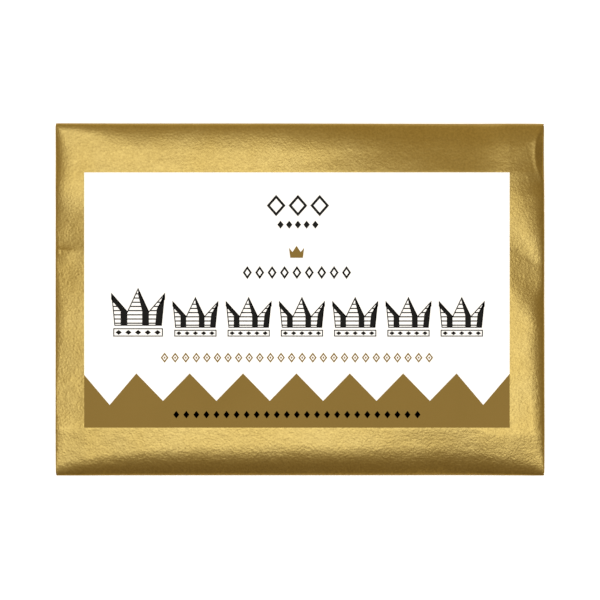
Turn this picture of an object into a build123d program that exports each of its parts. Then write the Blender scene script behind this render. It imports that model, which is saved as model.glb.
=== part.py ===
"""A flat pack of folded paper crowns, wrapped like a small parcel in metallic paper.

The pack lies on its back with its printed label upwards.  X runs along the pack,
Y from the foot of the label to its head, and Z from the table up through the pack.
The origin is under the middle of the pack, on the surface that it lies on.

The wrapping is closed like a parcel's: at each short end the front sheet comes down
over the end as a cover with slanted sides, and turns in over the back as a flap whose
slanted sides run on from the cover's.  The corners tucked in beside them lie one fold
deeper, and a seam runs along the back between the two flaps.
"""

import os

from build123d import *

# ---------------------------------------------------------------- driving dimensions, mm

# The label, a rectangle of thin card glued on the front.
label_length = 127.0
label_width = 76.2
label_thickness = 0.25

# The wrapping paper that shows around the label.
border_left = 8.8
border_right = 10.7
border_head = 14.75
border_foot = 14.45

# The wrapped stack of folded crowns.
pack_thickness = 11.0     # from the back flaps to the front, without the label
shelf_margin = 1.0        # level front that shows beyond the label's furthest edges
front_fall = 0.7          # how far the front sinks from there to its rolled edges
side_roll = 5.0           # radius of the front along the two long edges
end_roll = 4.0            # radius of the front along the two short ends
back_roll = 2.5           # radius of the back, all the way round
corner_radius = 1.2       # upright corners, seen from above

# The folds of the wrapping paper, as thick as the layers that lie together in them.
fold_thickness = 0.3      # end covers and back flaps, over the tucked corners
flap_reach = 24.0         # how far a back flap reaches in from its end
seam_thickness = 0.15     # the seam, where the two long edges of the sheet overlap
seam_overlap = 22.0

# -------------------------------------------------------------------- worked-out sizes

half_length = (border_left + label_length + border_right) / 2
half_width = (border_foot + label_width + border_head) / 2
label_x = (border_left - border_right) / 2
label_y = (border_foot - border_head) / 2
shelf_half_length = label_length / 2 + abs(label_x) + shelf_margin
shelf_half_width = label_width / 2 + abs(label_y) + shelf_margin
shoulder_height = pack_thickness - front_fall
# A fold's slanted side runs at 45 degrees, so it comes in as far as the fold goes on.
turn_height = fold_thickness + back_roll
turn_half_width = half_width - (pack_thickness - turn_height)
tip_half_width = turn_half_width - flap_reach


def parcel_section(half_run, half_shelf, front_roll):
    """Draw a section through the parcel: a level back, rolled edges, and a front that
    is level in the middle and falls away gently towards the edges."""
    with BuildSketch() as section:
        with BuildLine():
            Polyline(
                (-half_run, fold_thickness),
                (half_run, fold_thickness),
                (half_run, shoulder_height),
                (half_shelf, pack_thickness),
                (-half_shelf, pack_thickness),
                (-half_run, shoulder_height),
                close=True,
            )
        make_face()
        fillet(section.vertices().group_by(Axis.Y)[0], back_roll)
        fillet(section.vertices().group_by(Axis.Y)[-2], front_roll)
    return section.sketch


# --------------------------------------------------------------------------- the pieces

# The flaps turned in over the back, each rolled where it comes round from its end.
with BuildPart() as back_flaps:
    with BuildSketch():
        for end in (-1, 1):
            Polygon(
                (end * half_length, -turn_half_width),
                (end * half_length, turn_half_width),
                (end * (half_length - flap_reach), tip_half_width),
                (end * (half_length - flap_reach), -tip_half_width),
                align=None,
            )
    extrude(amount=turn_height)
    under_edges = back_flaps.edges().filter_by(Axis.Y).group_by(Axis.Z)[0]
    rolled_edges = under_edges.sort_by(SortBy.LENGTH)[-2:]
    fillet(rolled_edges, back_roll)

# The wrapped pack.
with BuildPart() as wrapped_pack:
    # A section across it, cut by a section along it and by its outline from above.
    with BuildSketch(Plane.YZ):
        add(parcel_section(half_width, shelf_half_width, side_roll))
    extrude(amount=half_length, both=True)
    with BuildSketch(Plane.XZ):
        add(parcel_section(half_length, shelf_half_length, end_roll))
    extrude(amount=half_width, both=True, mode=Mode.INTERSECT)
    with BuildSketch():
        RectangleRounded(2 * half_length, 2 * half_width, corner_radius)
    extrude(amount=pack_thickness, mode=Mode.INTERSECT)
    # The tucked corners, one fold deeper than the slanted sides of the end covers.
    for end in (-1, 1):
        with BuildSketch(Plane.YZ.offset(end * half_length)):
            for side in (-1, 1):
                Polygon(
                    (side * half_width, pack_thickness),
                    (side * turn_half_width, turn_height),
                    (side * turn_half_width, 0),
                    (side * half_width, 0),
                    align=None,
                )
        extrude(amount=-end * fold_thickness, mode=Mode.SUBTRACT)
    # The back: its two flaps, and the seam that runs from one to the other.
    add(back_flaps.part)
    with BuildSketch(Plane.XY.offset(fold_thickness - seam_thickness)):
        Rectangle(2 * (half_length - back_roll), seam_overlap)
    extrude(amount=seam_thickness)
wrapped_pack.part.label = "wrapped_pack"

# The label, glued flat on the level part of the front.
with BuildPart() as label:
    with BuildSketch(Plane.XY.offset(pack_thickness)):
        with Locations((label_x, label_y)):
            Rectangle(label_length, label_width)
    extrude(amount=label_thickness)
label.part.label = "label"

# ------------------------------------------------------------------------ the STEP files

os.makedirs("parts", exist_ok=True)
export_step(wrapped_pack.part, "parts/wrapped_pack.step")
export_step(label.part, "parts/label.step")
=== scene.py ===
"""The looks of a gift-wrapped pack of paper crowns that lies on its back, label upwards.

The wrapping is gold metallic paper, soft and slightly puffed round its edges, folded in
over the back like a parcel's.  A white card label with a toothed gold foot is glued on
the front.  Shapes are worked out in millimetres and turned to metres when a mesh is made.
"""

import bpy
import numpy as np
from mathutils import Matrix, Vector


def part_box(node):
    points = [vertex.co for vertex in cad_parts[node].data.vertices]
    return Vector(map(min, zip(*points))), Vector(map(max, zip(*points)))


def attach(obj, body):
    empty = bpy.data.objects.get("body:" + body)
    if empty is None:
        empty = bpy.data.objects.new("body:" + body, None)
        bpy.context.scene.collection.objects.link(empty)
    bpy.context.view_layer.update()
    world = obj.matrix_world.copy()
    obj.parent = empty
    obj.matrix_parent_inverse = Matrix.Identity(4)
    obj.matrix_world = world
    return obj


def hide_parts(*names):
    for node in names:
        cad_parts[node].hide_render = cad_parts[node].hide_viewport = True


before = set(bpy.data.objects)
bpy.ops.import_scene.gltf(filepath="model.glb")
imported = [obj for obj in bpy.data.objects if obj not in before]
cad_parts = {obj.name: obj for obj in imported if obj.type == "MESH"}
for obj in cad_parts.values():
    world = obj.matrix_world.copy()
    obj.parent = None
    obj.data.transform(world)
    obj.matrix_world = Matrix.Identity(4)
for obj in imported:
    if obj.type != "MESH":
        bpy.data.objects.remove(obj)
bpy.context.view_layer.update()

# --------------------------------------------------------------- sizes from the frame, mm

MM = 0.001
pack_low, pack_high = (np.array(corner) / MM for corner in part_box("wrapped_pack"))
label_low, label_high = (np.array(corner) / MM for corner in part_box("label"))
HALF_LENGTH, HALF_WIDTH, FRONT = pack_high
LABEL_X, LABEL_Y = (label_low[:2] + label_high[:2]) / 2
LABEL_LENGTH, LABEL_WIDTH = label_high[:2] - label_low[:2]
LABEL_LEFT, LABEL_FOOT = label_low[:2]
LABEL_RIGHT, LABEL_HEAD, LABEL_TOP = label_high

# ------------------------------------------------------------------ sizes of the wrapping

OUTLINE_ROUND = 0.45      # radius of the pack's corners, seen from above
BACK_ROLL = 2.6           # radius where the sides turn in over the back
FOLD = 0.28               # thickness of the layers folded over a tucked corner
FLAP_REACH = 24.0         # how far a back flap reaches in from its end
BACK = FOLD               # the back sheet's height; the flaps lie under it on the table
DRAWN_IN = 0.9975         # what is left of the length once the ends are drawn in
FOLD_AT_FRONT = 3.5       # how far in from a corner its fold lines lie on the front,
FOLD_AT_RIM = 0.6         # and at the outline, from where they slant in to the back
SEAM_HALF = 11.0          # half the width of the lengthwise overlap on the back
SEAM_THICKNESS = 0.14
SEAM_SUNK = 0.05          # how far the overlap reaches up into the back sheet
SEAM_LAP = 0.6            # how far it runs in under each end flap
SEAM_EDGE = 0.04          # softness of its edge
CARD_EDGE = 0.05          # softness of the label's cut edge
CLEAR_OF_LABEL = 4.0      # how far off the label the paper comes fully free of it
PUFF = 0.03               # unevenness of the free paper, in waves of these lengths
SHORT_WAVE, LONG_WAVE = 7.0, 26.0
CORNER_POWER = 2.5        # how squarely the rolled edges meet at a corner


# ---------------------------------------------------------------------- small mathematics

def ramp(low, high, value):
    """Nought below low, one above high, and an even S-shaped climb between them."""
    t = np.clip((value - low) / (high - low), 0.0, 1.0)
    return t * t * (3.0 - 2.0 * t)


def hump(centre, half, value):
    """A bell of height one round a centre, which falls to 37 per cent at half."""
    return np.exp(-(((value - centre) / half) ** 2))


def roll(distance, width, depth, steepest=9.0):
    """Drop of an edge rolled as a quarter ellipse: none at width in from the edge, and
    the whole depth at the edge itself.  Where the ellipse would grow steeper than the
    given slope, it goes on in a straight line of that slope instead."""
    u = np.clip(1.0 - distance / width, 0.0, 1.0)
    share = steepest * width / depth
    bent = np.minimum(u, share / np.sqrt(1.0 + share * share))
    return depth * (1.0 - np.sqrt(1.0 - bent * bent)) + steepest * width * (u - bent)


def waves(x, y, count, shortest, longest, seed):
    """A sum of even waves that run in seeded directions, between two wavelengths."""
    rng = np.random.default_rng(seed)
    total = np.zeros(np.broadcast(x, y).shape)
    for _ in range(count):
        heading, phase = rng.uniform(0.0, 2.0 * np.pi, 2)
        length = rng.uniform(shortest, longest)
        along = x * np.cos(heading) + y * np.sin(heading)
        total += np.sin(2.0 * np.pi * along / length + phase) * length / longest
    return total / np.sqrt(count)


def crease(x, y, start, end, sharpness):
    """A ridge of unit slope along a straight line from start to end: it falls off
    exponentially beside the line, keeps its height for a quarter of the way, and has
    faded out at the end."""
    (x0, y0), (x1, y1) = start, end
    length = np.hypot(x1 - x0, y1 - y0)
    ux, uy = (x1 - x0) / length, (y1 - y0) / length
    along = (x - x0) * ux + (y - y0) * uy
    beside = np.abs((y - y0) * ux - (x - x0) * uy)
    fade = ramp(-sharpness, 0.0, along) * (1.0 - ramp(0.25 * length, length, along))
    return sharpness * np.exp(-beside / sharpness) * fade


# ------------------------------------------------------------------- the wrapped surface

def lens(along, sharpness):
    """One in the middle of a side and nought at its ends: one less a high power."""
    return 1.0 - np.abs(np.clip(along, -1.0, 1.0)) ** sharpness


def edge_turn(distance, share):
    """The tight turn at the very edge, tighter where the share is small."""
    size = 0.35 + 0.65 * share
    return roll(distance, size, size)


def head_roll(x, y):
    """The head edge: a long gentle shoulder, narrow and slight at the left corner and
    broadest left of the middle, then a tight turn at the outline."""
    share = lens(np.minimum(x, 0.0) / HALF_LENGTH, 12)
    width = 2.3 + 6.9 * ramp(-71.0, -44.0, x) - 1.6 * ramp(-4.0, 30.0, x)
    shoulder = roll(HALF_WIDTH - y, width, 0.6 + 0.65 * ramp(-70.0, -42.0, x), 0.50)
    return shoulder + edge_turn(HALF_WIDTH - y, share)


def foot_roll(x, y):
    """The foot edge: a deep roll, broad in the middle, slight at the corners, and a
    little shallower on the right half."""
    share = lens(x / HALF_LENGTH, 3.5)
    depth = 0.6 + 2.9 * share - 0.8 * ramp(12.0, 36.0, x) * share
    shoulder = roll(HALF_WIDTH + y, 3.6 + 5.8 * share, depth, 0.55)
    return shoulder + edge_turn(HALF_WIDTH + y, 0.2 + 0.8 * share)


def left_roll(x, y):
    """The left edge: rounded near the head, and a crisp fold further down, but for two
    slightly softer stretches."""
    near_head = lens(y / HALF_WIDTH, 10)
    softer = hump(-6.0, 11.0, y) + 0.6 * hump(-41.0, 5.0, y)
    width = 0.4 + 6.0 * ramp(10.0, 32.0, y) * near_head + 3.2 * softer
    depth = 0.06 + 0.98 * ramp(16.0, 46.0, y) * near_head + 0.24 * softer
    turn = 0.5 * ramp(16.0, 40.0, y) * near_head - 0.35
    return roll(HALF_LENGTH + x, width, depth, 0.50) + edge_turn(HALF_LENGTH + x, turn)


def right_roll(x, y):
    """The right edge: broadest towards the head, and slight at the buckle and the foot."""
    share = lens(np.minimum(y, 0.0) / (0.93 * HALF_WIDTH), 2.5)
    share = share * (1.0 - 0.6 * ramp(36.0, 52.0, y))
    broad = 9.5 * ramp(14.0, 34.0, y) * ramp(53.0, 35.0, y)
    narrow = hump(7.5, 10.5, y)
    width = 1.6 + 4.2 * share + broad - 3.9 * narrow
    depth = 0.15 + 1.10 * share + 0.05 * broad - 1.0 * narrow
    return roll(HALF_LENGTH - x, width, depth, 0.55) + edge_turn(HALF_LENGTH - x, 0.5 * share)


def head_sag(x, y):
    """The paper above the label falls away from it, hardly on the left half of the pack,
    most on the right half, and a little less again at the right corner."""
    slope = 0.012 + 0.163 * ramp(-14.0, 50.0, x) - 0.070 * ramp(52.0, 62.0, x)
    return np.maximum(y - LABEL_HEAD, 0.0) * slope


def left_sag(x, y):
    """The paper left of the label slopes down to the left edge, but not near the head.
    It slopes less round the middle and again towards the foot, and more beside the
    pinch in the edge."""
    slope = 0.105 * ramp(36.0, 24.0, y) - 0.036 * hump(-6.5, 10.0, y)
    slope = slope - 0.018 * ramp(-14.0, -24.0, y) - 0.056 * ramp(-33.0, -40.0, y)
    slope = slope + 0.05 * hump(16.0, 2.8, y)
    return np.maximum(LABEL_LEFT - x, 0.0) * slope


def foot_sag(x, y):
    """The paper below the label falls away from it a little, more so to the right, where
    the slope also grows with the distance from the label."""
    below = np.maximum(LABEL_FOOT - 2.0 * ramp(50.0, 60.0, x) - y, 0.0)
    slope = 0.075 + 0.02 * hump(-55.0, 12.0, x)
    slope = slope + 0.055 * ramp(8.0, 40.0, x) * ramp(66.0, 50.0, x)
    slope = slope + 0.012 * ramp(-60.0, -70.0, x) + 0.03 * ramp(56.0, 73.0, x)
    deeper = 0.0022 * ramp(32.0, 44.0, x) + 0.0024 * ramp(50.0, 60.0, x)
    return below * slope + below ** 2 * deeper * ramp(75.0, 64.0, x)


def right_sag(x, y):
    """The paper right of the label falls away towards the head corner."""
    return np.maximum(x - LABEL_RIGHT, 0.0) * 0.052 * ramp(30.0, 36.0, y)


def right_buckle(x, y):
    """A facet of the right border that slopes down to the edge, between a soft slanting
    line below and a kinked one above, from which the paper climbs back evenly."""
    out = np.maximum(x - LABEL_RIGHT, 0.0)
    above = np.maximum(y - (15.8 - 0.6 * out), 0.0)
    climb = np.maximum(1.0 - np.hypot(above, 0.3) / 16.0, 0.0) ** 2
    return 0.110 * out * ramp(-3.0, 9.5, y + 0.7 * out) * climb


def corner_fold(x, y):
    """A lens-shaped patch at the head's right corner, bounded by a bowed line with a slight
    ridge along it, outside which the paper falls away."""
    bow = 1.0 - ((y - 44.5) / 9.0) ** 2
    out = x - (72.9 - 2.2 * bow)
    fade = ramp(33.0, 36.0, y) * ramp(52.0, 47.0, y)
    return fade * (0.40 * np.maximum(out, 0.0) - 0.11 * hump(-0.2, 0.75, out))


def left_pinch(x, y):
    """Ridges that fan out from a pinch in the left edge, with a small peak where they
    meet, and one faint ridge nearer the foot.  Each crease is scaled by its own slope."""
    fan = 0.19 * crease(x, y, (-73.2, 15.0), (-64.5, 14.0), 1.7)
    fan += 0.06 * crease(x, y, (-72.9, 13.4), (-65.0, 10.0), 1.4)
    peak = 0.12 * hump(-72.5, 0.8, x) * hump(15.4, 1.6, y)
    return fan + peak + 0.05 * crease(x, y, (-73.0, -25.0), (-65.0, -24.3), 1.7)


def front_height(x, y):
    """Height of the front sheet: level under the label, with sags, creases, a slight puff
    and rolled edges in the border round it.  Where two rolls meet at a corner, their
    drops are each raised to a power and added, and the root of that power is taken."""
    off_label = np.hypot(np.maximum(np.abs(x - LABEL_X) - LABEL_LENGTH / 2, 0.0),
                         np.maximum(np.abs(y - LABEL_Y) - LABEL_WIDTH / 2, 0.0))
    free = ramp(0.0, CLEAR_OF_LABEL, off_label)
    rolls = [head_roll(x, y), foot_roll(x, y), left_roll(x, y), right_roll(x, y)]
    drop = sum(edge ** CORNER_POWER for edge in rolls) ** (1.0 / CORNER_POWER)
    sags = head_sag(x, y) + left_sag(x, y) + foot_sag(x, y) + right_sag(x, y)
    pinch = ramp(0.0, 1.5, off_label) * left_pinch(x, y)
    creases = right_buckle(x, y) + corner_fold(x, y) - pinch
    puff = PUFF * waves(x, y, 14, SHORT_WAVE, LONG_WAVE, seed=5)
    return FRONT - drop - sags - creases + free * puff


def even(count):
    """Shares from nought to one, both ends included."""
    return np.linspace(0.0, 1.0, count)


def ring_plan(inset, gap):
    """Rings round the pack, seen from above, each at its own inset from the outline.

    A ring runs anticlockwise from the foot's left end: foot, right end, head, left end,
    with a small arc at each corner.  Its points on the two short ends gather at the
    slanted fold lines, which lie a gap in from the corners, so that a fold is sharp.
    The clearance is what a point keeps from its fold line, on either side.
    Returns x, y, and how far each point belongs to a tucked corner, from 0 to 1."""
    side_points, tuck_points, cover_points, arc_points = 300, 14, 170, 5
    clearance = 0.05
    half_x = (HALF_LENGTH - inset)[:, None]
    half_y = (HALF_WIDTH - inset)[:, None]
    bend = OUTLINE_ROUND
    run_x, run_y = half_x - bend, half_y - bend
    fold_y = half_y - gap[:, None]
    side = -run_x + 2.0 * run_x * even(side_points + 2)[None, 1:-1]
    low_tuck = -run_y + (run_y - fold_y - clearance) * even(tuck_points)[None, :]
    cover = -fold_y + clearance + 2.0 * (fold_y - clearance) * even(cover_points)[None, :]
    end = np.concatenate([low_tuck, cover, -low_tuck[:, ::-1]], axis=1)
    end_tuck = np.concatenate(
        [np.ones(tuck_points), np.zeros(cover_points), np.ones(tuck_points)])
    turn = even(arc_points + 2)[None, 1:-1] * np.pi / 2
    arc_x, arc_y = bend * np.sin(turn), bend * (1.0 - np.cos(turn))
    ones = np.ones_like(half_x)
    x = np.concatenate([
        side, run_x + arc_x, half_x * np.ones_like(end), half_x - arc_y,
        -side, -run_x - arc_x, -half_x * np.ones_like(end), -half_x + arc_y,
    ], axis=1)
    y = np.concatenate([
        -half_y * np.ones_like(side), -half_y + arc_y, end, run_y + arc_x,
        half_y * np.ones_like(side), half_y - arc_y, -end, -run_y - arc_x,
    ], axis=1)
    side_tuck = np.abs(even(side_points + 2)[1:-1] * 2.0 - 1.0) ** 24
    arc_tuck = np.ones(arc_points)
    tuck = np.concatenate([side_tuck, arc_tuck, end_tuck, arc_tuck] * 2)[None, :] * ones
    return x, y, tuck


def wrapping_rings():
    """The whole skin of the pack as rings, from the middle of the front out to its
    outline, down the sides, and in over the back to the middle again.

    Front rings take front_height; wall rings only step down; back rings turn in as a
    quarter circle and then run level, except that the two end flaps lie one fold lower,
    between their slanted fold lines, out to their tips.  On the end walls the tucked
    corners stand back one fold behind the cover between them.  At last both ends are
    drawn in a little.  Returns x, y and z, one row to a ring, in mm."""
    innermost = HALF_WIDTH - 0.4
    under_label = np.append(np.linspace(innermost, 15.5, 7), 14.7)
    border = 13.9 * (1.0 - np.sin(np.linspace(0.0, 0.5 * np.pi, 47)))
    border[-1] = 0.0
    front_inset = np.concatenate([under_label, border])
    wall_low = BACK + BACK_ROLL
    down = np.linspace(0.0, 1.0, 6)[1:]
    turn = np.linspace(0.0, 0.5 * np.pi, 8)[1:]
    roll_inset, roll_z = BACK_ROLL * (1.0 - np.cos(turn)), wall_low - BACK_ROLL * np.sin(turn)
    flap_edge = 0.04
    back_inset = np.concatenate([
        np.linspace(3.4, FLAP_REACH - flap_edge, 16),
        np.linspace(FLAP_REACH + flap_edge, innermost, 8)])

    inset = np.concatenate([front_inset, 0.0 * down, roll_inset, back_inset])
    fold_run = FRONT - wall_low
    near_outline = ramp(1.2, 0.0, front_inset)
    gap = np.concatenate([
        FOLD_AT_FRONT - (FOLD_AT_FRONT - FOLD_AT_RIM) * near_outline,
        FOLD_AT_RIM + (fold_run - FOLD_AT_RIM) * down,
        np.full(turn.size + back_inset.size, fold_run)])
    x, y, tuck = ring_plan(inset, gap)

    first_wall = front_inset.size
    first_roll = first_wall + down.size
    first_back = first_roll + turn.size
    z = np.empty_like(x)
    z[:first_wall] = front_height(x[:first_wall], y[:first_wall])
    rim = z[first_wall - 1]
    z[first_wall:first_roll] = rim + (wall_low - rim) * down[:, None]
    z[first_roll:first_back] = roll_z[:, None]
    z[first_back:] = BACK
    on_end = np.abs(x) > HALF_LENGTH - inset[:, None] - 1e-6
    flap = on_end * (1.0 - tuck) * (inset < FLAP_REACH)[:, None]
    flap[:first_back] = 0.0
    turning = slice(first_roll, first_back)
    lying = np.sin(turn)[:, None] ** 2
    flap[turning] = (on_end * (1.0 - tuck))[turning] * lying
    z -= FOLD * flap

    recess = FOLD * on_end * tuck       # how far a tucked corner stands back
    recess[:first_wall] *= near_outline[:, None]
    recess[turning] *= 1.0 - lying
    recess[first_back:] = 0.0
    x = x - np.sign(x) * recess
    return x * DRAWN_IN, y, z


# ------------------------------------------------------------------------ making meshes

def new_piece(name, points, faces, material, smooth=True):
    """A mesh piece from points in mm and faces as rows of point numbers."""
    mesh = bpy.data.meshes.new(name)
    mesh.from_pydata((np.asarray(points) * MM).tolist(), [], [list(f) for f in faces])
    mesh.polygons.foreach_set("use_smooth", np.full(len(mesh.polygons), smooth))
    mesh.materials.append(material)
    mesh.validate()
    mesh.update()
    piece = bpy.data.objects.new(name, mesh)
    bpy.context.scene.collection.objects.link(piece)
    return piece


def closed_rings(name, x, y, z, material):
    """A closed skin from rings of points: quads between neighbouring rings, and a fan to
    one middle point at each end."""
    rings, around = x.shape
    points = np.stack([x, y, z], axis=-1).reshape(-1, 3)
    number = np.arange(rings * around).reshape(rings, around)
    beside = np.roll(number, -1, axis=1)
    quads = np.stack([number[:-1], number[1:], beside[1:], beside[:-1]], axis=-1).reshape(-1, 4)
    first, last = len(points), len(points) + 1
    poles = np.array([[0.0, 0.0, z[0].mean()], [0.0, 0.0, z[-1].mean()]])
    top = np.stack([number[0], beside[0], np.full(around, first)], axis=-1)
    bottom = np.stack([beside[-1], number[-1], np.full(around, last)], axis=-1)
    faces = quads.tolist() + top.tolist() + bottom.tolist()
    return new_piece(name, np.concatenate([points, poles]), faces, material)


def slab(name, low, high, edge, material):
    """A thin oblong card with softened edges: four-cornered rings whose inset goes from
    the edge's softness to nought and back as the height climbs."""
    inset = edge * np.array([1.0, 0.3, 0.0, 0.0, 0.3, 1.0])
    height = np.array([low[2], low[2] + 0.3 * edge, low[2] + edge,
                       high[2] - edge, high[2] - 0.3 * edge, high[2]])
    sides = np.array([[-1, -1], [1, -1], [1, 1], [-1, 1]])
    middle, half = (low[:2] + high[:2]) / 2, (high[:2] - low[:2]) / 2
    flat = middle + sides[None] * (half - inset[:, None])[:, None, :]
    climb = np.repeat(height[:, None, None], 4, axis=1)
    points = np.concatenate([flat, climb], axis=2).reshape(-1, 3)
    number = np.arange(24).reshape(6, 4)
    beside = np.roll(number, -1, axis=1)
    walls = np.stack([number[:-1], beside[:-1], beside[1:], number[1:]], axis=-1).reshape(-1, 4)
    faces = walls.tolist() + [number[0, ::-1].tolist(), number[-1].tolist()]
    return new_piece(name, points, faces, material, smooth=False)


def printed(name, quads, material):
    """Print as thin closed plates.  Each row of quads is four points in mm on the label,
    turned anticlockwise where they aren't; top and bottom faces are joined by a wall on
    every edge."""
    quads = np.asarray(quads, float).reshape(-1, 4, 2)
    beside = np.roll(quads, -1, axis=1)
    area = (quads[..., 0] * beside[..., 1] - quads[..., 1] * beside[..., 0]).sum(axis=1)
    quads = np.where((area < 0)[:, None, None], quads[:, ::-1], quads)
    count = len(quads)
    low = np.concatenate([quads, np.full((count, 4, 1), LABEL_TOP - INK_UNDER)], axis=2)
    top = np.concatenate([quads, np.full((count, 4, 1), LABEL_TOP + INK_ABOVE)], axis=2)
    points = np.concatenate([low, top], axis=1).reshape(-1, 3)
    start = np.arange(count)[:, None] * 8
    pattern = np.array([[3, 2, 1, 0], [4, 5, 6, 7],
                        [0, 1, 5, 4], [1, 2, 6, 5], [2, 3, 7, 6], [3, 0, 4, 7]])
    faces = (start[:, :, None] + pattern[None]).reshape(-1, 4)
    piece = new_piece(name, points, faces, material, smooth=False)
    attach(piece, "root")
    return piece


# ------------------------------------------------------------------- shapes in the print

INK_UNDER, INK_ABOVE = 0.006, 0.016   # how far print reaches into and above the card
STROKE = 0.30             # width of the fine ink lines
HATCH_PITCH = 1.25        # spacing of the engraved lines
HATCH_THICKNESS = 0.36
SHORTEST_BAR = 0.25       # an engraved line is left out where its lower edge would be
SHORTEST_TOP = 0.1        # shorter than this, or its upper edge shorter than that

TOOTH_PITCH = 15.93       # from tip to tip of the toothed band
LAST_TIP = 47.65          # the last whole tooth's tip, right of the label's middle
TIP_HEIGHT, VALLEY_HEIGHT, OUTER_VALLEY_HEIGHT = 16.2, 8.0, 6.8


def ribbon(outer, inner, closed=True):
    """Quads between two matching rows of points: outer i, outer i+1, inner i+1, inner i."""
    outer, inner = np.asarray(outer, float), np.asarray(inner, float)
    next_outer, next_inner = np.roll(outer, -1, axis=0), np.roll(inner, -1, axis=0)
    quads = np.stack([outer, next_outer, next_inner, inner], axis=1)
    return quads if closed else quads[:-1]


def inset_line(points, width):
    """An anticlockwise closed line moved inwards: each corner goes along its mitre, whose
    length is width over the cosine of half the turn."""
    points = np.asarray(points, float)
    ahead = np.roll(points, -1, axis=0) - points
    ahead /= np.linalg.norm(ahead, axis=1)[:, None]
    inward = np.stack([-ahead[:, 1], ahead[:, 0]], axis=1)
    before = np.roll(inward, 1, axis=0)
    mitre = inward + before
    mitre /= (mitre * inward).sum(axis=1)[:, None]
    return points + width * mitre


def outlined(points, width=STROKE):
    """A closed line drawn with a stroke that lies inside it."""
    return ribbon(points, inset_line(points, width))


def lozenge(x, y, wide, tall):
    """Corner points of an upright lozenge, anticlockwise from the right."""
    return np.array([[x + wide / 2, y], [x, y + tall / 2],
                     [x - wide / 2, y], [x, y - tall / 2]])


def oblong(left, foot, right, head):
    """Corner points of an upright oblong, anticlockwise from the foot's left."""
    return np.array([[left, foot], [right, foot], [right, head], [left, head]])


def on_line(line, level):
    """Points at the given levels on a line given as rows of (x, y) that climb."""
    line = np.asarray(line, float)
    return np.stack([np.interp(level, line[:, 1], line[:, 0]), level], axis=1)


def hatching(left_line, right_line, levels, thickness):
    """Level bars between two boundary lines, each given as rows of (x, y) that climb."""
    low, high = levels - thickness / 2, levels + thickness / 2
    bars = np.stack([on_line(left_line, low), on_line(right_line, low),
                     on_line(right_line, high), on_line(left_line, high)], axis=1)
    below, above = bars[:, 1, 0] - bars[:, 0, 0], bars[:, 2, 0] - bars[:, 3, 0]
    return bars[(below > SHORTEST_BAR) & (above > SHORTEST_TOP)]


def engraved_crown(left, foot, wide, tall):
    """A plain three-pointed crown drawn as an engraver would: a fine outline, the left of
    each point hatched, its right a solid sliver, and a jewelled brow band below."""
    middle = left + wide / 2
    brow, body = foot + 0.17 * tall, foot + 0.22 * tall
    valley, shoulder = foot + 0.52 * tall, foot + 0.90 * tall
    tips = np.array([[left, shoulder], [middle, foot + tall], [left + wide, shoulder]])
    valleys = np.array([[left + 0.30 * wide, valley], [left + 0.70 * wide, valley]])
    base_left, base_right = [left + 0.06 * wide, body], [left + 0.94 * wide, body]
    edge_line = np.array(
        [base_left, base_right, tips[2], valleys[1], tips[1], valleys[0], tips[0]])
    sliver, blunted = 0.125 * wide, 0.14 * tall
    parts = [outlined(edge_line)]
    lefts = [[base_left, tips[0]],
             [[valleys[0, 0], body], valleys[0], tips[1]],
             [[valleys[1, 0], body], valleys[1], tips[2]]]
    rights = [[[valleys[0, 0], body], valleys[0], tips[0]],
              [[valleys[1, 0], body], valleys[1], tips[1]],
              [base_right, tips[2] - 0.5 * (tips[2] - base_right), tips[2]]]
    levels = np.arange(body + 0.62 * HATCH_PITCH, foot + tall, HATCH_PITCH)
    for left_line, right_line in zip(lefts, rights):
        right_line = np.array(right_line)
        inner = right_line - [sliver, 0.0]
        inner[-1] = right_line[-1] - [0.0, blunted]
        parts.append(ribbon(right_line, inner, closed=False))
        parts.append(hatching(left_line, inner, levels, HATCH_THICKNESS))
    parts.append(outlined(oblong(left + 0.04 * wide, foot, left + 0.96 * wide, brow)))
    jewel_wide, jewel_tall, jewel_y = 0.12 * wide, 0.10 * tall, 0.5 * (foot + brow)
    parts.append([lozenge(left + share * wide, jewel_y, jewel_wide, jewel_tall)
                  for share in (0.14, 0.32, 0.5, 0.68, 0.86)])
    return np.concatenate([np.asarray(part).reshape(-1, 4, 2) for part in parts])


def plain_crown(x, foot, wide, tall):
    """A small solid crown: an upright quad to each half point."""
    across = x + wide * np.array([-0.5, -0.27, 0.0, 0.27, 0.5])
    height = foot + tall * np.array([0.82, 0.48, 1.0, 0.48, 0.82])
    base = x + 0.84 * (across - x)
    low = np.stack([base, np.full(5, foot)], axis=1)
    return ribbon(low, np.stack([across, height], axis=1), closed=False)


def zigzag_band():
    """The toothed foot of the label: quads from the foot line up to a line that runs from
    tooth tip to valley and back at an even pitch.  The outermost valley on each side is
    cut a little deeper."""
    half_steps = np.arange(-15, 4)
    places = LABEL_X + LAST_TIP + 0.5 * TOOTH_PITCH * half_steps
    height = np.where(half_steps % 2 == 0, TIP_HEIGHT, VALLEY_HEIGHT)
    height[np.isin(half_steps, [-13, 1])] = OUTER_VALLEY_HEIGHT
    inside = (places > LABEL_LEFT + CARD_EDGE) & (places < LABEL_RIGHT - CARD_EDGE)
    line_x = np.concatenate([[LABEL_LEFT], places[inside], [LABEL_RIGHT]])
    line_y = LABEL_FOOT + np.interp(line_x, places, height)
    low = np.stack([line_x, np.full(line_x.size, LABEL_FOOT)], axis=1)
    return ribbon(low, np.stack([line_x, line_y], axis=1), closed=False)


def lozenge_row(y, count, pitch, wide, tall, line=None, middle=LABEL_X):
    """Quads for a level row of even lozenges either side of a middle: solid ones, or
    outlined ones where a line width is given."""
    places = middle + pitch * (np.arange(count) - 0.5 * (count - 1))
    shapes = [lozenge(x, y, wide, tall) for x in places]
    if line is not None:
        shapes = [outlined(shape, line) for shape in shapes]
    return np.reshape(shapes, (-1, 4, 2))


# --------------------------------------------------------------------------- materials

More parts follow.
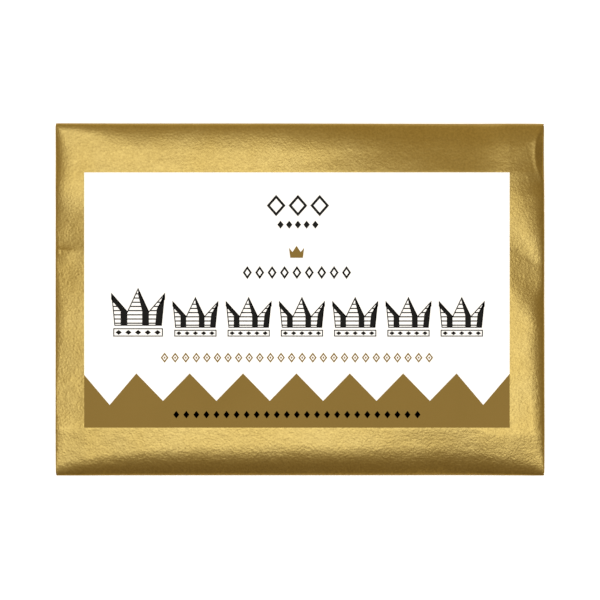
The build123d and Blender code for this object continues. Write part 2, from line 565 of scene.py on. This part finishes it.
GOLD_DEEP, GOLD_PALE = (0.765, 0.560, 0.175), (0.800, 0.600, 0.205)
FLECK_BROWN = (0.35, 0.22, 0.06)
CLOUD_SCALE, FLECK_SCALE, SPECKLE_SCALE = 90.0, 1500.0, 2600.0     # cells to a metre
PEBBLE_SCALE, SOFT_SCALE = 1600.0, 420.0
PEBBLE_DEPTH, SOFT_DEPTH, FIBRE_DEPTH = 0.000055, 0.00007, 0.000012    # metres
FIBRE_SCALE, CARD_CLOUD_SCALE = 900.0, 60.0
FIBRE_SQUEEZE = (1.0, 2.2, 1.0)       # fibres run along X
RELIEF_FOOT, RELIEF_HEAD = 1.0, 0.6   # share of the gold paper's relief at either end
COMMON = (0.3, 0.7)                   # nearly all of a noise's values lie between these


def node_material(name):
    """A new node material: returns it with its node list, its links and its shader."""
    material = bpy.data.materials.new(name)
    material.use_nodes = True
    nodes, links = material.node_tree.nodes, material.node_tree.links
    return material, nodes, links, nodes["Principled BSDF"]


def noise(nodes, links, coordinates, scale, detail=2.0, roughness=0.5):
    """Soft random clouds from 0 to 1, about 0.5, in cells of one over the scale."""
    node = nodes.new("ShaderNodeTexNoise")
    node.inputs["Scale"].default_value = scale
    node.inputs["Detail"].default_value = detail
    node.inputs["Roughness"].default_value = roughness
    links.new(coordinates, node.inputs["Vector"])
    return node.outputs["Fac"]


def spread(nodes, links, value, low, high, to_low, to_high):
    """Map Range: stretches a band of a value over another band."""
    node = nodes.new("ShaderNodeMapRange")
    for number, setting in zip((1, 2, 3, 4), (low, high, to_low, to_high)):
        node.inputs[number].default_value = setting
    links.new(value, node.inputs[0])
    return node.outputs[0]


def blend_colour(nodes, links, share, first, second):
    """A mix of two colours, each a node's output or three numbers: the second's share
    is another node's output."""
    node = nodes.new("ShaderNodeMix")
    node.data_type = "RGBA"
    links.new(share, node.inputs["Factor"])
    for socket, colour in (("A", first), ("B", second)):
        target = [s for s in node.inputs if s.name == socket and s.type == "RGBA"][0]
        if isinstance(colour, bpy.types.NodeSocket):
            links.new(colour, target)
        else:
            target.default_value = (*colour, 1.0)
    return [s for s in node.outputs if s.type == "RGBA"][0]


def bump(nodes, links, height, distance, strength=1.0, under=None):
    """Relief as deep as the distance in metres where a height goes from 0 to 1, over the
    relief under it.  The strength is a number or a node's output."""
    node = nodes.new("ShaderNodeBump")
    if isinstance(strength, bpy.types.NodeSocket):
        links.new(strength, node.inputs["Strength"])
    else:
        node.inputs["Strength"].default_value = strength
    node.inputs["Distance"].default_value = distance
    links.new(height, node.inputs["Height"])
    if under is not None:
        links.new(under, node.inputs["Normal"])
    return node.outputs["Normal"]


def paper_fibre_group():
    """Fine uneven grain of smooth card, shared by the card and the print on it: Height is
    the fibre relief and Tone a faint cloudiness, both from 0 to 1."""
    group = bpy.data.node_groups.new("paper_fibre", "ShaderNodeTree")
    group.interface.new_socket("Fibre Scale", in_out="INPUT", socket_type="NodeSocketFloat")
    group.interface.new_socket("Height", in_out="OUTPUT", socket_type="NodeSocketFloat")
    group.interface.new_socket("Tone", in_out="OUTPUT", socket_type="NodeSocketFloat")
    nodes, links = group.nodes, group.links
    given, out = nodes.new("NodeGroupInput"), nodes.new("NodeGroupOutput")
    place = nodes.new("ShaderNodeTexCoord").outputs["Object"]
    stretched = nodes.new("ShaderNodeMapping")
    stretched.inputs["Scale"].default_value = FIBRE_SQUEEZE
    links.new(place, stretched.inputs["Vector"])
    fibre = nodes.new("ShaderNodeTexNoise")
    fibre.inputs["Detail"].default_value = 3.0
    links.new(stretched.outputs["Vector"], fibre.inputs["Vector"])
    links.new(given.outputs["Fibre Scale"], fibre.inputs["Scale"])
    links.new(fibre.outputs["Fac"], out.inputs["Height"])
    links.new(noise(nodes, links, place, CARD_CLOUD_SCALE), out.inputs["Tone"])
    return group


def gold_paper_material():
    """Satin metallic gold paper: pebbled fine grain over softer dents, slight clouds in
    colour, brown flecks and uneven gloss.  The relief is full at the foot of the pack and
    weaker towards the head, where the paper is more taut."""
    material, nodes, links, shader = node_material("satin_gold_paper")
    place = nodes.new("ShaderNodeTexCoord").outputs["Object"]
    clouds = noise(nodes, links, place, CLOUD_SCALE)
    speckle = noise(nodes, links, place, SPECKLE_SCALE, detail=1.0)
    tone = spread(nodes, links, clouds, *COMMON, 0.0, 1.0)
    base = blend_colour(nodes, links, tone, GOLD_DEEP, GOLD_PALE)
    specks = noise(nodes, links, place, FLECK_SCALE, detail=1.0)
    flecks = spread(nodes, links, specks, *COMMON, 0.26, 0.0)
    links.new(blend_colour(nodes, links, flecks, base, FLECK_BROWN),
              shader.inputs["Base Color"])
    links.new(spread(nodes, links, speckle, *COMMON, 0.28, 0.35),
              shader.inputs["Roughness"])
    shader.inputs["Metallic"].default_value = 1.0
    pebbles = noise(nodes, links, place, PEBBLE_SCALE, detail=1.0)
    along = nodes.new("ShaderNodeSeparateXYZ")
    links.new(place, along.inputs[0])
    relief = spread(nodes, links, along.outputs["Y"], -0.05, 0.05, RELIEF_FOOT, RELIEF_HEAD)
    fine = bump(nodes, links, pebbles, PEBBLE_DEPTH, relief)
    dents = noise(nodes, links, place, SOFT_SCALE)
    soft = bump(nodes, links, dents, SOFT_DEPTH, relief, under=fine)
    links.new(soft, shader.inputs["Normal"])
    return material


def card_material(name, colour, cloud_colour, roughness, fibre, shine=0.5):
    """Card or print on card: a base colour clouded very slightly, over fibre relief."""
    material, nodes, links, shader = node_material(name)
    grain = nodes.new("ShaderNodeGroup")
    grain.node_tree = fibre
    grain.inputs["Fibre Scale"].default_value = FIBRE_SCALE
    relief, clouds = grain.outputs["Height"], grain.outputs["Tone"]
    tone = spread(nodes, links, clouds, *COMMON, 0.0, 1.0)
    links.new(blend_colour(nodes, links, tone, colour, cloud_colour),
              shader.inputs["Base Color"])
    links.new(spread(nodes, links, relief, *COMMON, roughness - 0.04, roughness + 0.04),
              shader.inputs["Roughness"])
    links.new(bump(nodes, links, relief, FIBRE_DEPTH), shader.inputs["Normal"])
    shader.inputs["Specular IOR Level"].default_value = shine
    return material


def floor_material():
    """A matt pale floor that glows a little, so that it stays even under the pack."""
    material, nodes, links, shader = node_material("pale_floor")
    place = nodes.new("ShaderNodeTexCoord").outputs["Object"]
    tone = noise(nodes, links, place, 3.0)
    links.new(blend_colour(nodes, links, tone, (0.90, 0.90, 0.90), (0.92, 0.92, 0.92)),
              shader.inputs["Base Color"])
    shader.inputs["Roughness"].default_value = 0.9
    shader.inputs["Specular IOR Level"].default_value = 0.0
    shader.inputs["Emission Color"].default_value = (1.0, 1.0, 1.0, 1.0)
    shader.inputs["Emission Strength"].default_value = 0.4
    return material


# ------------------------------------------------------------------------ putting it up

fibre = paper_fibre_group()
gold = gold_paper_material()
white_card = card_material(
    "white_card", (0.93, 0.93, 0.93), (0.90, 0.90, 0.90), 0.55, fibre)
bronze_ink = card_material(
    "bronze_ink", (0.208, 0.131, 0.028), (0.200, 0.126, 0.026), 0.60, fibre, shine=0.12)
black_ink = card_material(
    "black_ink", (0.006, 0.006, 0.006), (0.008, 0.008, 0.008), 0.60, fibre, shine=0.12)

wrapping = closed_rings("gold_wrapping", *wrapping_rings(), gold)
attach(wrapping, "root")
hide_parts("wrapped_pack")

seam_run = HALF_LENGTH - FLAP_REACH + SEAM_LAP
seam = slab("back_seam", np.array([-seam_run, -SEAM_HALF, BACK - SEAM_THICKNESS]),
            np.array([seam_run, SEAM_HALF, BACK + SEAM_SUNK]), SEAM_EDGE, gold)
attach(seam, "root")

card = slab("label_card", label_low, label_high, CARD_EDGE, white_card)
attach(card, "root")
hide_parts("label")

printed("toothed_band", zigzag_band(), bronze_ink)

BIG_WIDE, BIG_TALL = 16.1, 14.6       # the first crown of the row
WIDE, TALL = 13.7, 11.9               # the six after it
CROWN_GAP = 2.2
CROWN_FOOT = LABEL_Y - 10.9
crown_step = WIDE + CROWN_GAP
row_left = LABEL_X - 0.5 * (BIG_WIDE + 6 * crown_step) + 0.3
crowns = [engraved_crown(row_left, CROWN_FOOT, BIG_WIDE, BIG_TALL)]
crowns += [engraved_crown(row_left + BIG_WIDE + CROWN_GAP + number * crown_step,
                          CROWN_FOOT, WIDE, TALL) for number in range(6)]
printed("engraved_crowns", np.concatenate(crowns), black_ink)

HEAD_MIDDLE = LABEL_X + 0.3           # the head ornaments stand a little to the right
LOWER_Y = LABEL_Y - 17.2
printed("head_lozenges", lozenge_row(
    y=LABEL_Y + 28.2, count=3, pitch=6.5, wide=5.6, tall=6.4, line=0.72,
    middle=HEAD_MIDDLE), black_ink)
printed("head_small_lozenges", lozenge_row(
    y=LABEL_Y + 22.5, count=5, pitch=2.6, wide=1.9, tall=2.4,
    middle=HEAD_MIDDLE), black_ink)
printed("small_crown", plain_crown(
    x=LABEL_X - 0.1, foot=LABEL_Y + 12.6, wide=4.5, tall=3.6), bronze_ink)
printed("upper_row", lozenge_row(
    y=LABEL_Y + 8.2, count=9, pitch=3.7, wide=2.7, tall=3.9, line=0.55), black_ink)
printed("lower_row", lozenge_row(
    y=LOWER_Y, count=26, pitch=3.16, wide=2.3, tall=3.0, line=0.38), bronze_ink)
printed("lower_row_dots", lozenge_row(
    y=LOWER_Y, count=26, pitch=3.16, wide=0.6, tall=0.8), bronze_ink)
printed("band_row", lozenge_row(
    y=LABEL_FOOT + 3.9, count=25, pitch=3.0, wide=1.8, tall=2.3), black_ink)


# ------------------------------------------------------------------- floor, light, view

FLOOR_REACH, FLOOR_LEVEL = 12.0, -0.0002      # metres
floor_mesh = bpy.data.meshes.new("floor")
floor_mesh.from_pydata([(across * FLOOR_REACH, along * FLOOR_REACH, FLOOR_LEVEL)
                        for across, along in ((-1, -1), (1, -1), (1, 1), (-1, 1))],
                       [], [(0, 1, 2, 3)])
floor_mesh.materials.append(floor_material())
floor = bpy.data.objects.new("floor", floor_mesh)
bpy.context.scene.collection.objects.link(floor)
floor.visible_glossy = False


def lamp(name, kind, place, aim, power, turn=0.0, **settings):
    """A light at a place in metres, pointed at another and turned by an angle in degrees,
    unseen by the camera."""
    light = bpy.data.lights.new(name, kind)
    light.energy = power
    for key, value in settings.items():
        setattr(light, key, value)
    holder = bpy.data.objects.new(name, light)
    bpy.context.scene.collection.objects.link(holder)
    holder.location = place
    direction = np.array(aim, float) - np.array(place, float)
    flat = np.hypot(direction[0], direction[1])
    tilt = np.arctan2(flat, -direction[2])
    facing = np.arctan2(-direction[0], direction[1]) if flat else 0.0
    holder.rotation_euler = (tilt, 0.0, facing + np.radians(turn))
    holder.visible_camera = False
    return holder


SOFTBOX_POWER = 0.905
SOFTBOX_TINT = (1.0, 1.055, 1.13)
SOFTBOX_SIZE = (0.50, 0.46)
SOFTBOX_PLACE, BELOW_SOFTBOX = (-0.02, -0.07, 0.80), (-0.02, -0.07, 0.0)
FILL_POWER, FILL_SPREAD = 2.7, 2.4
lamp("overhead_softbox", "AREA", SOFTBOX_PLACE, BELOW_SOFTBOX, SOFTBOX_POWER, turn=-12.0,
     shape="RECTANGLE", size=SOFTBOX_SIZE[0], size_y=SOFTBOX_SIZE[1], color=SOFTBOX_TINT)
fill = lamp("even_fill", "SUN", (0.0, 0.0, 3.0), (0.0, 0.0, 0.0), FILL_POWER,
            angle=FILL_SPREAD)
fill.visible_glossy = False

world = bpy.data.worlds.new("studio")
bpy.context.scene.world = world
world.use_nodes = True
sky, sky_links = world.node_tree.nodes, world.node_tree.links
sky.clear()
heading = sky.new("ShaderNodeSeparateXYZ")
sky_links.new(sky.new("ShaderNodeTexCoord").outputs["Generated"], heading.inputs[0])


def weighted(value, weight, added):
    """A value times its weight, plus a number or another node's output."""
    node = sky.new("ShaderNodeMath")
    node.operation = "MULTIPLY_ADD"
    sky_links.new(value, node.inputs[0])
    node.inputs[1].default_value = weight
    if isinstance(added, float):
        node.inputs[2].default_value = added
    else:
        sky_links.new(added, node.inputs[2])
    return node.outputs[0]


def band_of_sky(edges):
    """One beyond the second height of a pair, nought before the first, and an even
    S-shaped climb between.  A height is the Z of the direction looked in, from -1 to 1."""
    band = sky.new("ShaderNodeMapRange")
    band.interpolation_type = "SMOOTHSTEP"
    for number, setting in zip((1, 2, 3, 4), (*edges, 0.0, 1.0)):
        band.inputs[number].default_value = setting
    sky_links.new(heading.outputs["Z"], band.inputs[0])
    return band.outputs[0]


def product(first, second):
    """Two nodes' outputs multiplied."""
    node = sky.new("ShaderNodeMath")
    node.operation = "MULTIPLY"
    sky_links.new(first, node.inputs[0])
    sky_links.new(second, node.inputs[1])
    return node.outputs[0]


# The surround's brightness: a base level that climbs towards the head and a little to the
# left.  Below each band of heights it changes: brighter in the two corners where X and Y
# differ in sign, a little dimmer all round, and brighter in two steps near floor level.
BASE_LEVEL, TO_RIGHT, TO_HEAD, TO_CORNERS = 0.28, -0.04, 0.12, 0.62
CORNER_BAND, MIDDLE_BAND, LOW_BAND, UNDER_BAND = (
    (0.62, 0.40), (0.60, 0.35), (0.15, -0.15), (-0.15, -0.40))
MIDDLE_LEVEL, LOW_LEVEL, UNDER_LEVEL = -0.05, 0.14, 0.10
level = weighted(heading.outputs["X"], TO_RIGHT,
                 weighted(heading.outputs["Y"], TO_HEAD, BASE_LEVEL))
slant = weighted(product(heading.outputs["X"], heading.outputs["Y"]), -2.0, 0.0)
two_corners = sky.new("ShaderNodeMath")
two_corners.operation = "MAXIMUM"
sky_links.new(slant, two_corners.inputs[0])
two_corners.inputs[1].default_value = 0.0
corner_glow = product(two_corners.outputs[0], band_of_sky(CORNER_BAND))
level = weighted(corner_glow, TO_CORNERS, level)
level = weighted(band_of_sky(MIDDLE_BAND), MIDDLE_LEVEL, level)
level = weighted(band_of_sky(LOW_BAND), LOW_LEVEL, level)
level = weighted(band_of_sky(UNDER_BAND), UNDER_LEVEL, level)

# Dim parts of the surround are warm, and it turns to plain white as it grows bright.
TINTS = ((0.0, (0.06, 0.045, 0.035)), (0.2, (0.20, 0.150, 0.082)),
         (0.4, (0.40, 0.312, 0.155)), (0.6, (0.60, 0.520, 0.380)), (1.0, (1.0, 1.0, 1.0)))
tints = sky.new("ShaderNodeValToRGB")
while len(tints.color_ramp.elements) < len(TINTS):
    tints.color_ramp.elements.new(0.5)
for element, (at, colour) in zip(tints.color_ramp.elements, TINTS):
    element.position, element.color = at, (*colour, 1.0)
sky_links.new(level, tints.inputs["Fac"])
surround, backdrop = sky.new("ShaderNodeBackground"), sky.new("ShaderNodeBackground")
sky_links.new(tints.outputs["Color"], surround.inputs["Color"])
backdrop.inputs["Color"].default_value = (1.0, 1.0, 1.0, 1.0)
chooser, world_out = sky.new("ShaderNodeMixShader"), sky.new("ShaderNodeOutputWorld")
sky_links.new(sky.new("ShaderNodeLightPath").outputs["Is Camera Ray"], chooser.inputs["Fac"])
sky_links.new(surround.outputs[0], chooser.inputs[1])
sky_links.new(backdrop.outputs[0], chooser.inputs[2])
sky_links.new(chooser.outputs[0], world_out.inputs["Surface"])

VIEW_WIDTH = 0.17908      # how wide a strip of the label's plane the view takes in
CAMERA_ABOVE = 1.0        # metres above the label
CAMERA_X, CAMERA_Y = -0.00003, -0.00014
FILM_WIDTH = 36.0
view = bpy.data.cameras.new("camera")
view.sensor_width = FILM_WIDTH
view.lens = FILM_WIDTH * CAMERA_ABOVE / VIEW_WIDTH
view.clip_end = 100.0
camera = bpy.data.objects.new("camera", view)
camera.location = (CAMERA_X, CAMERA_Y, LABEL_TOP * MM + CAMERA_ABOVE)
bpy.context.scene.collection.objects.link(camera)
bpy.context.scene.camera = camera
bpy.context.scene.view_settings.view_transform = "Standard"
bpy.context.scene.view_settings.look = "None"

bpy.context.view_layer.update()
